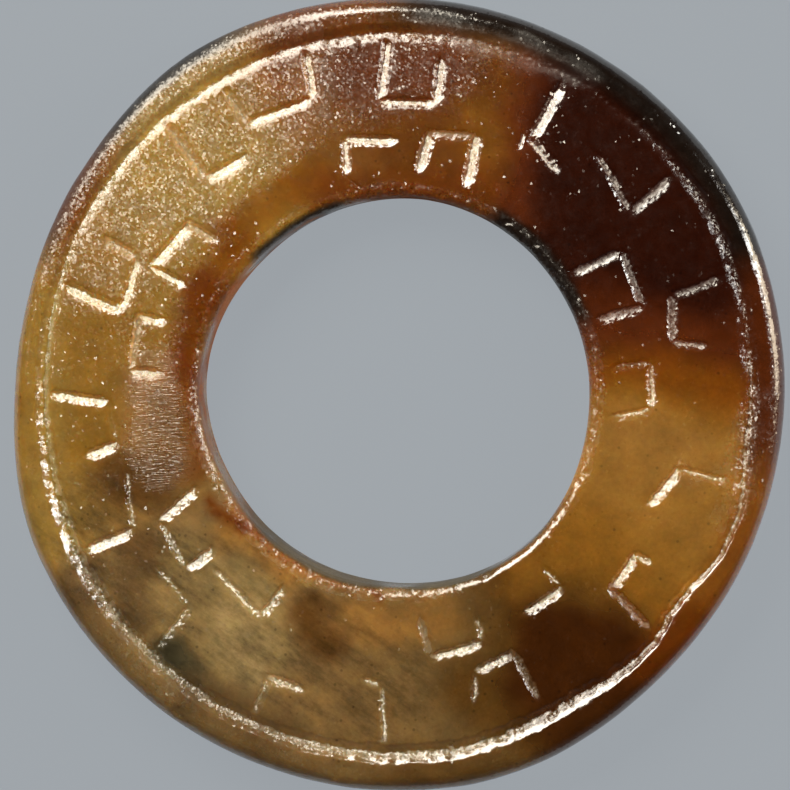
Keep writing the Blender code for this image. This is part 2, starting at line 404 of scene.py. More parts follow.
# %% Rough cuts, the worn edge of the bore, and the roll of the polish
CUT_ROUGH = 0.028
LINE_ROUGHNESS = 0.07
BORE_WEAR = 0.09
CRISP_BORE = (Hollow(308, 1, 34),)
in_cut = np.clip((stroke_cut + line_cut) / STROKE_DEPTH, 0, 1)
cut_grain = noise(flat_points, 0.3, 31) + 0.6 * noise(flat_points, 0.6, 32)
wear = CUT_ROUGH * in_cut * np.abs(cut_grain)
line_rough = LINE_ROUGHNESS + hollow_depth(angles, LINE_ROUGH)
line_grain = np.abs(noise(flat_points, 0.4, 38)) + 0.4 * np.abs(noise(flat_points, 0.22, 39))
wear += line_rough * line_share * line_grain
near_bore = smooth_step((BORE_RADIUS + 1.3 - radii) / 0.6)
near_bore *= 1 - 0.7 * hollow_depth(angles, CRISP_BORE)
wear += BORE_WEAR * near_bore * np.clip(noise(flat_points, 0.4, 37) + 0.2, 0, 1)
waves = 0.022 * noise(flat_points, 5.0, 33) + 0.010 * noise(flat_points, 1.6, 34)
waves += 0.0045 * noise(flat_points, 0.6, 35)
print("the polish rolls by up to", round(float(np.abs(waves).max()), 3), "mm")

# %% Chips, and how far the face is lowered in all
Chip = namedtuple("Chip", "angle radius across along depth")
CHIPS = (
    Chip(135, 13.5, 0.5, 0.7, 0.25),
    Chip(104, 14.0, 0.5, 0.4, 0.12),
    Chip(296, 14.4, 0.5, 0.8, 0.12),
    Chip(262, 27.9, 0.9, 1.2, 0.14),
    Chip(236, 28.3, 0.8, 0.9, 0.16),
    Chip(118, 28.3, 0.6, 0.9, 0.05),
    Chip(20, 28.0, 0.6, 0.8, 0.05),
)
FACE_DROP = 0.035
chip_cut = np.zeros_like(radii)
for chip in CHIPS:
    side = (ground - chip.radius) / chip.across
    ahead = np.radians(turned_away(angles, chip.angle)) * chip.radius / chip.along
    away = np.sqrt(side**2 + ahead**2) + 0.25 * noise(flat_points, 0.5, 36)
    chip_cut = np.maximum(chip_cut, chip.depth * smooth_step(1.3 - away))
chip_cut *= on_face
lowered = field_fall + np.maximum(line_cut, stroke_cut) + wear + FACE_DROP + waves
lowered = on_face * lowered + chip_cut
print("the face is lowered by up to", round(float(lowered.max()), 2), "mm")

# %% [markdown]
# ## The full skin
# The sides roll a little too. There the points move in towards the stone, again so that the ring
# stays inside its CAD outline. The order of each face's corners matters: it says which side is out,
# and all normals, and so all light on the stone, follow from it.

# %% Build the full mesh
INSET = 0.02
SIDE_ROLL_ROOM = 0.045
MIDDLE_RADIUS = (BORE_RADIUS + OUTER_RADIUS) / 2
LOWEST_POINT = 0.002
skin = flat_points.copy()
skin[:, 2] -= lowered
side_waves = 0.03 * noise(flat_points, 3.0, 41) + 0.012 * noise(flat_points, 0.9, 42)
outwards = np.where(radii > MIDDLE_RADIUS, 1, -1)
near_side = smooth_step((np.abs(radii - MIDDLE_RADIUS) - 5.5) / 1.5)
inset_radius = ground - outwards * near_side * (INSET + SIDE_ROLL_ROOM + side_waves)
skin[:, :2] *= (inset_radius / ground)[:, None]
skin[:, 2] = np.clip(skin[:, 2], LOWEST_POINT, None)
skin[:, :2] += axis


def ring_faces(turn_steps, rows):
    """Squares between each turn step and the next, wound so that they face out of the stone."""
    index = np.arange(turn_steps * rows).reshape(turn_steps, rows)
    ahead = np.roll(index, -1, axis=0)
    sides = (index, np.roll(index, -1, axis=1), np.roll(ahead, -1, axis=1), ahead)
    return np.stack(sides, axis=-1).reshape(-1, 4)


def mesh_of(name, points, faces):
    """A mesh in metres from points in millimetres."""
    mesh = bpy.data.meshes.new(name)
    mesh.from_pydata((points * MM).tolist(), [], faces.tolist())
    return mesh


fine = mesh_of("fine_skin", skin, ring_faces(TURN_STEPS, len(section)))
carved = bpy.data.objects.new("carved_ring", fine)
bpy.context.scene.collection.objects.link(carved)
print("the full skin has", len(fine.polygons), "faces")

# %% [markdown]
# ## Fewer faces where the stone is plain
# Even rows spend as many faces on the plain back as on a stroke's floor. The Decimate modifier joins
# faces where the surface is nearly flat and keeps them where it bends, which is just what a carved
# stone needs.

# %% Decimate and keep the result
FACE_BUDGET = 180000
share_kept = min(1, FACE_BUDGET / (2 * len(fine.polygons)))
thin = carved.modifiers.new("thin_out", "DECIMATE")
thin.ratio = share_kept
depsgraph = bpy.context.evaluated_depsgraph_get()
ring_mesh = bpy.data.meshes.new_from_object(carved.evaluated_get(depsgraph))
carved.modifiers.clear()
carved.data = ring_mesh
ring_mesh.name = "carved_ring"
bpy.data.meshes.remove(fine)
ring_mesh.shade_smooth()
print("kept", len(ring_mesh.polygons), "faces")

# %% [markdown]
# ## The colours of the stone
# Jade gets its colour from the ground that it lay in: honey and amber stone, a dark red-brown cloud
# on one side, khaki and moss where it weathered, and rust along the edges. Each has a name here, as
# the colour that one sees, and a helper turns it into the linear values that shaders use. First
# comes the ground colour in each direction, and then clouds are laid over it, one after another.

# %% The palette
PALETTE = {
    "gold": "9C7A2E",
    "honey": "906A24",
    "wheat": "9A7D3C",
    "straw": "988052",
    "khaki": "866A40",
    "bronze": "80653A",
    "moss": "6A5230",
    "peat": "3A3422",
    "earth": "593A16",
    "walnut": "5A3C14",
    "umber": "3E1E04",
    "clay": "926A3E",
    "saffron": "7C4608",
    "rust": "6A3002",
    "tawny": "6E4010",
    "brick": "54240A",
    "chestnut": "4A1E06",
    "ink": "280B02",
    # soot on the outer edge; on the bore's edge the same colour is painted shade and painted reflection
    "soot_and_shade": "140D08",
    "ember": "7E460A",
    "amber": "A07430",
    "ochre": "92641E",
    "apricot": "9C7238",
    "toffee": "7E5424",
    "flame": "8A4810",
    "sand": "AE9666",
    # painted highlight: the near-white for walls that face the light, partly the paleness of ground
    # stone
    "chalk_highlight": "E6E0D0",
    "biscuit": "A27C46",
}


def seen(name):
    """A palette colour as one sees it, from 0 to 1 in each channel."""
    return np.array([int(PALETTE[name][i : i + 2], 16) / 255 for i in (0, 2, 4)])


def reflectance(colours):
    """These seen colours as the linear reflectance that a shader takes."""
    return np.where(colours <= 0.04045, colours / 12.92, ((colours + 0.055) / 1.055) ** 2.4)


print(len(PALETTE), "colours in the palette")

# %% The ground colour in each direction
GROUND = (
    (0, "ochre"),
    (9, "ember"),
    (17, "brick"),
    (27, "ink"),
    (52, "ink"),
    (60, "brick"),
    (67, "tawny"),
    (92, "tawny"),
    (103, "toffee"),
    (110, "saffron"),
    (118, "honey"),
    (126, "gold"),
    (140, "gold"),
    (152, "honey"),
    (190, "honey"),
    (210, "khaki"),
    (236, "straw"),
    (252, "khaki"),
    (280, "bronze"),
    (300, "walnut"),
    (312, "walnut"),
    (321, "ochre"),
    (335, "amber"),
    (352, "amber"),
)


def ground_colour(angles):
    """The ground colour in each direction, blended between the named ones."""
    places = np.array([angle for angle, name in GROUND], dtype=float)
    colours = np.array([seen(name) for angle, name in GROUND])
    channels = [np.interp(angles % 360, places, colours[:, i], period=360) for i in range(3)]
    return np.column_stack(channels)


print("the ground colour is given in", len(GROUND), "directions")

# %% [markdown]
# ## Clouds
# A cloud runs from start to end, in millimetres right and up of the bore's axis. It is full within
# its reach of that line, and gone past its fade. A zone is the same without a colour, for what isn't
# paint. The places are moved to and fro by noise before they are looked up, so that no cloud shows
# its straight line. They are moved most on the sides and the back, where nothing is known and the
# clouds should be loose.

# %% Clouds over the ground colour
Cloud = namedtuple("Cloud", "colour start end reach fade strength")
CLOUDS = (
    # The dark side, from its orange border inwards
    Cloud("ember", (15, 3.4), (26, 0.6), 0.8, 3.0, 0.9),
    Cloud("brick", (14.5, 5.4), (25, 3.8), 0.4, 2.6, 0.95),
    Cloud("brick", (10.6, 25), (9.6, 14), 0.3, 3.0, 0.9),
    Cloud("chestnut", (15, 7.6), (25, 6.2), 0.6, 2.4, 0.9),
    Cloud("ink", (13.4, 22.5), (12.8, 15), 0.8, 3.2, 1.0),
    Cloud("ink", (16.5, 19.5), (21.5, 11.5), 3.6, 3.6, 1.0),
    Cloud("ink", (14.5, 11.5), (23.5, 9.5), 1.4, 3.0, 1.0),
    # The top, browner towards the rim
    Cloud("brick", (-2.5, 23.5), (3, 23.5), 0.6, 3.8, 0.85),
    Cloud("rust", (-6, 15.0), (6, 14.8), 0.2, 2.2, 0.6),
    Cloud("ochre", (5.5, 20), (6.5, 17), 0.4, 2.6, 0.4),
    # The honey side, and the saffron band along its bore
    Cloud("wheat", (-9.5, 17.5), (-17, 10.5), 2.0, 4.0, 0.4),
    Cloud("saffron", (-7.5, 14.8), (-12, 11.3), 0.4, 2.0, 0.65),
    Cloud("saffron", (-12.2, 11.3), (-14.2, 7.5), 0.5, 2.2, 0.8),
    Cloud("rust", (-14.2, 8), (-15.4, 1.5), 0.4, 2.0, 0.8),
    Cloud("rust", (-15.4, 1.5), (-15.0, -5), 0.4, 1.7, 0.8),
    Cloud("clay", (-18, 0), (-17, -4.5), 0.8, 3.2, 0.9),
    Cloud("earth", (-17.0, -0.5), (-17.0, -4.5), 0.2, 2.0, 0.45),
    Cloud("wheat", (-26, 6), (-26, -10), 0.4, 2.6, 0.7),
    # The weathered side, at the lower left
    Cloud("earth", (-20, -6.4), (-17.8, -6.6), 0.5, 2.8, 0.9),
    Cloud("wheat", (-24, -7), (-24.5, -11), 0.5, 2.6, 0.6),
    Cloud("straw", (-15.5, -12.5), (-9, -18), 0.8, 3.4, 0.9),
    Cloud("moss", (-18.4, -12.5), (-19.5, -16.5), 0.3, 2.4, 0.8),
    Cloud("earth", (-19.8, -10.8), (-18.6, -11.6), 0.1, 1.8, 0.3),
    Cloud("moss", (-22.8, -13.5), (-23.5, -15.5), 0.3, 2.0, 0.7),
    Cloud("sand", (-11.8, -16.8), (-10.2, -20.0), 0.6, 2.6, 0.7),
    Cloud("peat", (-16.6, -19.2), (-14.4, -20.9), 0.1, 2.0, 1.0),
    Cloud("moss", (-14.5, -22.0), (-9, -24.3), 0.4, 2.4, 0.8),
    Cloud("earth", (-6.2, -15.8), (-5.0, -18.2), 0.1, 2.2, 0.9),
    Cloud("apricot", (-11.8, -10.0), (-8.0, -13.2), 0.3, 1.8, 1.0),
    Cloud("rust", (-13.5, -7.5), (-11, -10), 0.0, 0.8, 0.8),
    Cloud("rust", (-11, -9.9), (-1, -14.7), 0.0, 0.8, 0.7),
    Cloud("apricot", (-3, -16.3), (3, -16.4), 0.4, 2.4, 0.9),
    # The umber cloud at the lower right, and the clearer stone beside it
    Cloud("walnut", (6, -21.5), (10, -23.5), 0.8, 3.0, 0.9),
    Cloud("walnut", (7.8, -18), (8.6, -15.8), 0.2, 2.0, 0.7),
    Cloud("umber", (11, -17.5), (15.8, -18.2), 1.2, 2.6, 1.0),
    Cloud("umber", (10.5, -20.5), (16, -20), 1.0, 2.8, 1.0),
    Cloud("ochre", (9.5, -12.8), (14, -10.5), 0.6, 3.0, 0.8),
    Cloud("apricot", (17, -3.2), (22, -4.5), 0.6, 3.0, 0.5),
)


def cover(places, cloud):
    """How much of a cloud or a zone lies over each place, from 0 to its strength."""
    start, end = np.array(cloud.start, float), np.array(cloud.end, float)
    run = end - start
    along = np.clip((places - start) @ run / (run @ run), 0, 1)
    away = np.linalg.norm(places - start - along[:, None] * run, axis=1)
    return cloud.strength * smooth_step(1 - (away - cloud.reach) / cloud.fade)


print(len(CLOUDS), "clouds")

# %% Paint the ground colour and the clouds
DRIFT = 0.75
DRIFT_BELOW = 1.6
points = np.zeros(len(ring_mesh.vertices) * 3)
ring_mesh.vertices.foreach_get("co", points)
points = points.reshape(-1, 3) / MM
around_axis = points - (axis[0], axis[1], 0)
swirl = np.column_stack([noise(points, 3.4, seed) for seed in (51, 52)])
swirl += 0.4 * np.column_stack([noise(points, 1.2, seed) for seed in (54, 55)])
swirl += 0.15 * np.column_stack([noise(points, 0.5, seed) for seed in (57, 58)])
below_face = smooth_step((THICKNESS - 1.2 - points[:, 2]) / 3)
drifted = around_axis[:, :2] + (DRIFT + DRIFT_BELOW * below_face)[:, None] * swirl
stone = ground_colour(np.degrees(np.arctan2(drifted[:, 1], drifted[:, 0])))
for cloud in CLOUDS:
    covered = cover(drifted, cloud)
    stone += (seen(cloud.colour) - stone) * covered[:, None]
print("painted", len(points), "points with", len(CLOUDS), "clouds")

# %% [markdown]
# ## Stained and shaded edges
# Where a ring is handled and buried, its edges take the most. Here the outer edge is nearly black
# from the top round to the right. On two stretches the edge of the bore is painted dark, as painted
# shade and a painted dark reflection of its steep arris. Each entry is a stretch of directions that
# ease in and out, how deep it goes in from the outer edge or from the bore, and over what width it
# fades.

# %% Stain the edges, and paint shade on two stretches of the bore's edge
EdgeStainAndShade = namedtuple("EdgeStainAndShade", "colour first last ease edge depth fade strength")
EDGE_STAINS_AND_SHADE = (
    EdgeStainAndShade("soot_and_shade", 14, 94, 10, "outer", 1.2, 1.6, 0.95),
    EdgeStainAndShade("chestnut", 344, 24, 9, "outer", 1.6, 2.0, 0.95),
    EdgeStainAndShade("brick", 92, 116, 10, "outer", 2.6, 2.2, 0.6),
    EdgeStainAndShade("straw", 106, 152, 12, "outer", 2.2, 1.2, 0.6),
    EdgeStainAndShade("soot_and_shade", 106, 164, 14, "outer", 0.6, 0.8, 0.95),
    EdgeStainAndShade("rust", 134, 162, 12, "outer", 1.4, 1.2, 0.6),
    EdgeStainAndShade("rust", 304, 330, 8, "outer", 1.6, 2.2, 0.85),
    EdgeStainAndShade("rust", 322, 354, 8, "outer", 1.2, 2.0, 0.5),
    EdgeStainAndShade("umber", 286, 316, 10, "outer", 3.4, 2.4, 0.9),
    EdgeStainAndShade("walnut", 262, 292, 12, "outer", 1.4, 2.4, 0.6),
    EdgeStainAndShade("moss", 205, 262, 14, "outer", 1.2, 2.0, 0.55),
    # painted shade and painted reflection: the dark of the bore's steep arris on these two stretches
    EdgeStainAndShade("soot_and_shade", 18, 66, 8, "bore", 0.9, 0.8, 0.9),
    EdgeStainAndShade("soot_and_shade", 100, 140, 8, "bore", 0.3, 0.5, 0.9),
    EdgeStainAndShade("ember", 206, 262, 12, "bore", 0.4, 0.7, 0.6),
    EdgeStainAndShade("flame", 108, 214, 12, "bore", -0.1, 0.4, 1.0),
    EdgeStainAndShade("peat", 206, 338, 26, "bore", 0.06, 0.35, 0.85),
)
place_angle = np.degrees(np.arctan2(drifted[:, 1], drifted[:, 0])) % 360
place_radius = np.hypot(around_axis[:, 0], around_axis[:, 1]) + 0.2 * swirl[:, 0]
outer_here = ground_radius(np.full(len(points), OUTER_RADIUS), place_angle)
bore_here = ground_radius(np.full(len(points), BORE_RADIUS), place_angle)
for edge_tint in EDGE_STAINS_AND_SHADE:
    half = ((edge_tint.last - edge_tint.first) % 360) / 2
    beyond = np.abs(turned_away(place_angle, edge_tint.first + half)) - half
    inwards = outer_here - place_radius if edge_tint.edge == "outer" else place_radius - bore_here
    covered = smooth_step(-beyond / edge_tint.ease)
    covered = covered * smooth_step(1 - (inwards - edge_tint.depth) / edge_tint.fade)
    stone += (seen(edge_tint.colour) - stone) * (edge_tint.strength * covered)[:, None]
print("stained the edges with", len(EDGE_STAINS_AND_SHADE), "stains")

# %% [markdown]
# ## Where the polish is grainy
# The honey side sparkles all over, because its polish follows the stone's grain. The amber side at
# the lower right is nearly smooth, but for the shoulders of the line. These zones say how strong the
# grain is at each point, and the shader reads it from the mesh. The rim and the edge of the bore get
# their own, by direction.

# %% The grain of the polish
Zone = namedtuple("Zone", "start end reach fade strength")
PLAIN_GRAIN = 0.2
GRAINY = (
    Zone((-22, 11), (-9, 22.5), 3.4, 4.0, 0.75),
    Zone((-8, 22), (3, 24), 2.0, 3.0, 0.45),
    Zone((-17.5, 1), (-16.5, -6), 1.4, 1.8, 0.1),
    Zone((-22, 7), (-22.5, -4), 3.0, 3.0, 0.22),
    Zone((-18, 9.5), (-18, 3), 1.6, 2.4, 0.4),
    Zone((25.8, -0.6), (24.2, -9.6), 0.7, 0.9, 0.5),
    Zone((21.2, -5.6), (23.8, -6.2), 0.5, 0.9, 0.45),
    Zone((-22, -12), (-16, -21), 1.6, 2.0, 0.2),
)
GRAINY_RIM = (Hollow(125, 0.3, 60), Hollow(250, 0.25, 75), Hollow(357, 0.2, 28))
BULLNOSE_START = 26.4
ARRIS_END = 15.5
grain = np.full(len(points), PLAIN_GRAIN)
for zone in GRAINY:
    grain = np.maximum(grain, PLAIN_GRAIN + cover(drifted, zone))
bullnose = smooth_step((place_radius - BULLNOSE_START) / 0.8)
arris = smooth_step((ARRIS_END - place_radius) / 0.4)
arris_grain = 0.5 - 0.4 * hollow_depth(place_angle, CRISP_BORE)
grain += hollow_depth(place_angle, GRAINY_RIM) * bullnose + arris_grain * arris
print("the grain goes up to", round(float(grain.max()), 2))

# %% [markdown]
# ## Which points lie in a cut
# The shader has to know the floors and walls of the cuts, because they are rougher than the polish.
# A point is in a cut when it lies below the face that would be there without it. The sunk value is
# 0 on the face and 1 inside a cut. At the top right the line is so worn that it counts as polish.

# %% How far each point is sunk into a cut
CUT_FULL = 0.12
CUT_STARTS = 0.04
WORN_LINE = (Hollow(66, 0.75, 40),)
WORN_LINE_START = 24.2
edge_here = ground_radius(np.full(len(points), face_edge), place_angle)
place_share = np.clip((place_radius - FIELD_START) / (LINE_RADIUS - FIELD_START), 0, 1)
fallen = FIELD_FALL * place_share**2
sunk = np.clip((THICKNESS - FACE_DROP - fallen - points[:, 2] - CUT_STARTS) / CUT_FULL, 0, 1)
sunk *= smooth_step((edge_here - place_radius) * 2) * smooth_step((place_radius - FIELD_START) * 2)
near_rim = smooth_step((place_radius - WORN_LINE_START) / 0.6)
sunk *= 1 - hollow_depth(place_angle, WORN_LINE) * near_rim
print("in a cut:", round(100 * float((sunk > 0.5).mean())), "percent of the points")

# %% [markdown]
# ## Shaded strokes and dull patches
# Some strokes lie out of the light and hardly shine. They are painted in the colour that they show
# there, as painted shade, and marked as dull. One stretch near the rim, at the top right, is dull
# too, from wear.

# %% Paint shade into some strokes
DULL_PATCH = Zone((2.4, 26.9), (13.6, 23.4), 0.4, 1.1, 0.24)
SHADE_PAINT_STRENGTH = 0.7
SHADED_STROKE_DULLS = 0.22
# painted shade: strokes that lie out of the light, each with the flat colour it shows there
SHADED_STROKES = (
    ("biscuit", (130.5, 0.94), (131.5, 0.57)),
    ("biscuit", (119, 0.70), (119.5, 0.86)),
    ("biscuit", (152.5, 0.60), (152, 0.80)),
    ("biscuit", (139.5, 0.24), (140.5, 0.42)),
    ("biscuit", (164.5, 0.43), (173.5, 0.41)),
    ("toffee", (74.5, 0.415), (81.5, 0.38)),
    ("bronze", (276, 0.14), (277.5, 0.36)),
    ("walnut", (295, 0.86), (294.5, 0.53)),
    ("ember", (317.5, 0.90), (318, 0.57)),
)
dull = cover(drifted, DULL_PATCH)
tinted = np.zeros(len(points))
for colour, first, last in SHADED_STROKES:
    along = Zone(on_field(*first), on_field(*last), 0.35, 0.4, 1.0)
    covered = cover(around_axis[:, :2], along) * smooth_step(sunk * 2)
    # painted shade: the stroke is painted in the flat colour it shows out of the light
    stone += (seen(colour) - stone) * (SHADE_PAINT_STRENGTH * covered)[:, None]
    dull = np.maximum(dull, SHADED_STROKE_DULLS * covered)
    tinted = np.maximum(tinted, covered)
print("tinted", len(SHADED_STROKES), "strokes")

# %% [markdown]
# ## Crumpled floors
# In the photograph a cut glitters like crumpled foil: its floor is made of many small broken faces.
# The foil value says how far those faces turn, and it is highest where the cuts are coarsest.

# %% How crumpled the cuts are
FOIL = 0.4
FOIL_ZONES = (Hollow(235, 0.2, 60), Hollow(18, 0.5, 36), Hollow(298, 0.35, 38))
crumple = FOIL + hollow_depth(place_angle, FOIL_ZONES)
print("the cuts are crumpled by", crumple.min().round(2), "to", crumple.max().round(2))

# %% [markdown]
# ## Walls that catch the light
# The strokes are read by their walls. Those that face the light at the upper left flash nearly
# white, and those that face away stay tan. A real wall is as smooth and as steep as the wheel left
# it, while the walls of our mesh differ a little with every stroke. So we keep a lean for each
# point: how far its shading normal has to turn for its wall to face the light squarely, like its
# neighbours. Only walls that already look to the light's side are turned. The same walls are painted
# towards a chalk white, partly the pale powder of ground stone and partly a painted highlight. The
# ones that look away are painted a little paler, as painted light that lifts their shade. On the dark
# side at the right and on the weathered side at the lower left there is less of both the turn and the
# chalk white.

# %% Which way each wall looks
LINE_WALLS_START = 25.1
LIT_SIDE = 120
SHADED_SIDE = math.radians(-50)
DIM_SIDE = (Hollow(26, 1, 38),)
WEATHERED_SIDE = (Hollow(238, 1, 38),)
normals = np.zeros(len(points) * 3)
ring_mesh.vertex_normals.foreach_get("vector", normals)
tilt = normals.reshape(-1, 3)[:, :2]
steep = np.hypot(tilt[:, 0], tilt[:, 1])
facing = turned_away(np.degrees(np.arctan2(tilt[:, 1], tilt[:, 0])), LIT_SIDE)
on_line = smooth_step((place_radius - LINE_WALLS_START) / 0.5)
in_stroke = smooth_step((sunk - 0.3) / 0.4) * (1 - on_line)
dim_side = hollow_depth(place_angle, DIM_SIDE)
weathered_side = hollow_depth(place_angle, WEATHERED_SIDE)
lit = smooth_step((105 - np.abs(facing)) / 15) * smooth_step((steep - 0.06) / 0.08)
lit *= (1 - 0.85 * tinted) * (1 - 0.45 * dim_side) * (1 - 0.3 * weathered_side)
print("walls that catch the light:", round(100 * float((lit * in_stroke > 0.5).mean())), "percent")

# %% Turn the lit walls to the light
LIT_STEEP = 0.38
TURN_SHARE = 0.85
STEEPEN_SHARE = 0.75
BRIGHT_LINE = (Hollow(246, 0.4, 38), Hollow(356, 0.5, 26))
new_facing = np.radians(facing * (1 - TURN_SHARE * lit) + LIT_SIDE)
new_steep = steep + STEEPEN_SHARE * lit * (LIT_STEEP - steep)
new_direction = np.column_stack((np.cos(new_facing), np.sin(new_facing)))
turned_tilt = new_direction * new_steep[:, None]
bright_line = on_line * sunk * hollow_depth(place_angle, BRIGHT_LINE)
lean = (turned_tilt - tilt) * (in_stroke + bright_line)[:, None]
print("the walls lean by up to", np.abs(lean).max().round(2))

# %% Painted light on the shaded walls, and chalk and a painted highlight on the lit ones
CHALK_HIGHLIGHT_STRENGTH = 0.5
DIM_SIDE_DULLS = 0.36
away_side = np.clip(tilt @ (math.cos(SHADED_SIDE), math.sin(SHADED_SIDE)) / 0.25, 0, 1)
# painted light: walls that face away from the light are painted paler, to lift their shade
stone += (0.2 * stone + 0.05) * (away_side * in_stroke)[:, None]
# painted light: the line's wall that faces away from the light is painted a little paler too
stone += 0.15 * stone * (away_side * sunk * on_line)[:, None]
sunk *= 1 - 0.75 * away_side * on_line
# painted highlight: walls that face the light are painted towards chalk white, partly for ground stone
# and partly as a painted highlight
chalk_highlight_cover = CHALK_HIGHLIGHT_STRENGTH * lit * np.maximum(in_stroke, 0.5 * sunk) * (1 - 0.8 * dim_side)
chalk_highlight_cover *= 1 - 0.6 * weathered_side
stone += (seen("chalk_highlight") - stone) * chalk_highlight_cover[:, None]
dull = np.maximum(dull, DIM_SIDE_DULLS * dim_side * in_stroke)
print("the chalk covers up to", round(100 * float(chalk_highlight_cover.max())), "percent")

# %% [markdown]
# ## Polish and glaze
# The polish is full on the carved face and on the outer edge, and stops in the bore and on the back,
# where nobody rubbed. Over it lies a clear glaze, worn thin on the grain, in the cuts, on the wheel
# lines at the left of the bore, on the sharp edge of the bore and on the line's dim side.

# %% Where the stone is polished, and where the glaze is thin
WHEEL_LINES = Zone((-17.6, 0.2), (-17.2, -5.2), 1.1, 1.9, 1.0)
streaks = cover(drifted, WHEEL_LINES)
out_of_bore = smooth_step((place_radius - bore_here + 0.1) / 0.3)
off_back = smooth_step((points[:, 2] - 0.3) / 0.6)
polished = out_of_bore * off_back * (1 - dull)
glaze = polished**4 * (1 - 0.9 * np.clip((grain * (1 - sunk) - PLAIN_GRAIN) / 0.7, 0, 1))
glaze *= 1 - 0.3 * sunk
glaze *= (1 - 0.9 * streaks) * (1 - 0.8 * dim_side * on_line) * (1 - arris_grain * arris)
print("the glaze lies on", round(100 * float((glaze > 0.5).mean())), "percent of the points")

# %% [markdown]
# ## Keep it all on the mesh
# Each array becomes an attribute of the mesh, one entry for each point. The shader reads them by
# name, and they stay with the ring wherever it goes.


# %% Write colours, values and leans to the mesh
def keep_colour(mesh, name, colours):
    """Writes one linear colour for each point of a mesh."""
    layer = mesh.color_attributes.new(name, "FLOAT_COLOR", "POINT")
    rgba = np.column_stack((colours, np.ones(len(colours)))).astype(np.float32)
    layer.data.foreach_set("color", rgba.ravel())


def keep_value(mesh, name, values):
    """Writes one number for each point of a mesh."""
    layer = mesh.attributes.new(name, "FLOAT", "POINT")
    layer.data.foreach_set("value", values.astype(np.float32))


def keep_sideways(mesh, name, pushes):
    """Writes one level direction for each point of a mesh."""
    layer = mesh.attributes.new(name, "FLOAT_VECTOR", "POINT")
    layer.data.foreach_set("vector", np.pad(pushes, ((0, 0), (0, 1))).astype(np.float32).ravel())


MARBLED = Zone((-21, -11), (-2, -21), 3.0, 4.0, 1.0)
keep_colour(ring_mesh, "stone_colour", reflectance(stone))
keep_value(ring_mesh, "grain", grain)
keep_value(ring_mesh, "cut", sunk)
keep_value(ring_mesh, "foil", sunk * crumple)
keep_sideways(ring_mesh, "lean", lean)
keep_value(ring_mesh, "weathered", cover(drifted, MARBLED))
keep_value(ring_mesh, "streaks", streaks)
keep_value(ring_mesh, "polish", polished)
keep_value(ring_mesh, "glaze", glaze)
layers = [layer.name for layer in ring_mesh.attributes if not layer.name.startswith(".")]
print("the mesh keeps", ", ".join(layers))

# %% [markdown]
# ## The jade
# Polished jade has three depths: a clear, glassy skin with fine pits, a colour that mottles at one
# or two millimetres, and a body that lets some light through. The Principled shader gives all three:
# gloss with a bump of pits, painted colour with noise over it, and a little subsurface scattering.
# First we fetch what the mesh keeps.


# %% The material, and what it reads from the mesh
def add(tree, kind, **settings):
    """Adds one node. A setting is a property of the node, or an input by its name."""
    node = tree.nodes.new(kind)
    for name, value in settings.items():
        if hasattr(node, name):
            setattr(node, name, value)
        else:
            node.inputs[name.replace("_", " ").title()].default_value = value
    return node


def kept(tree, name, output="Fac"):
    """What the mesh keeps under this name."""
    return add(tree, "ShaderNodeAttribute", attribute_name=name).outputs[output]


jade = bpy.data.materials.new("jade")
jade.use_nodes = True
tree = jade.node_tree
shader = tree.nodes["Principled BSDF"]
place = add(tree, "ShaderNodeTexCoord").outputs["Object"]
painted = kept(tree, "stone_colour", "Color")
leaning = kept(tree, "lean", "Vector")
cut = kept(tree, "cut")
grainy = kept(tree, "grain")
crumpled = kept(tree, "foil")
weathered = kept(tree, "weathered")
streaky = kept(tree, "streaks")
polish = kept(tree, "polish")
glazed = kept(tree, "glaze")
print("the jade starts with", len(tree.nodes), "nodes")

# %% [markdown]
# ## Maths with nodes
# A shader does its sums with nodes. These helpers add one each, so that a sum reads almost like
# ordinary code. The noise takes the width of its bumps in millimetres and turns it into the scale
# that Blender wants.


# %% Helpers for maths and noise
def feed(tree, value, socket):
    """Links a node's output to a socket, or sets a plain number or vector there."""
    if isinstance(value, (int, float, tuple)):
        socket.default_value = value
    else:
        tree.links.new(value, socket)


def joined(tree, operation, first, second):
    """A maths node on two values. Either may be a number."""
    node = add(tree, "ShaderNodeMath", operation=operation)
    feed(tree, first, node.inputs[0])
    feed(tree, second, node.inputs[1])
    return node.outputs["Value"]


def vector_sum(tree, operation, first, second):
    """A maths node on two vectors. The second may be three numbers."""
    node = add(tree, "ShaderNodeVectorMath", operation=operation)
    feed(tree, first, node.inputs[0])
    feed(tree, second, node.inputs[1])
    return node.outputs["Vector"]


def ranged(tree, value, low, high, to_low, to_high):
    """Maps a value from one range to another, and holds it there."""
    node = add(tree, "ShaderNodeMapRange", from_min=low, from_max=high, to_min=to_low, to_max=to_high)
    tree.links.new(value, node.inputs["Value"])
    return node.outputs["Result"]


def grain_noise(tree, place, grain, detail=3.0, roughness=0.5):
    """A noise texture whose bumps are about this many millimetres across."""
    scale = 1 / (grain * MM)
    texture = add(tree, "ShaderNodeTexNoise", scale=scale, detail=detail, roughness=roughness)
    tree.links.new(place, texture.inputs["Vector"])
    return texture.outputs["Fac"]


print("bumps of 1 mm need a scale of", round(1 / MM))

# %% [markdown]
# ## Colour in the stone
# The painted colour is the broad one. Over it the stone mottles at about two millimetres and flecks
# at a third of one, and holds small dark specks. The weathered stretch at the lower left is marbled:
# there the noise is turned and drawn out, so that it runs in slanting veins. All this only makes the
# painted colour lighter or darker, so the palette stays as it was chosen.

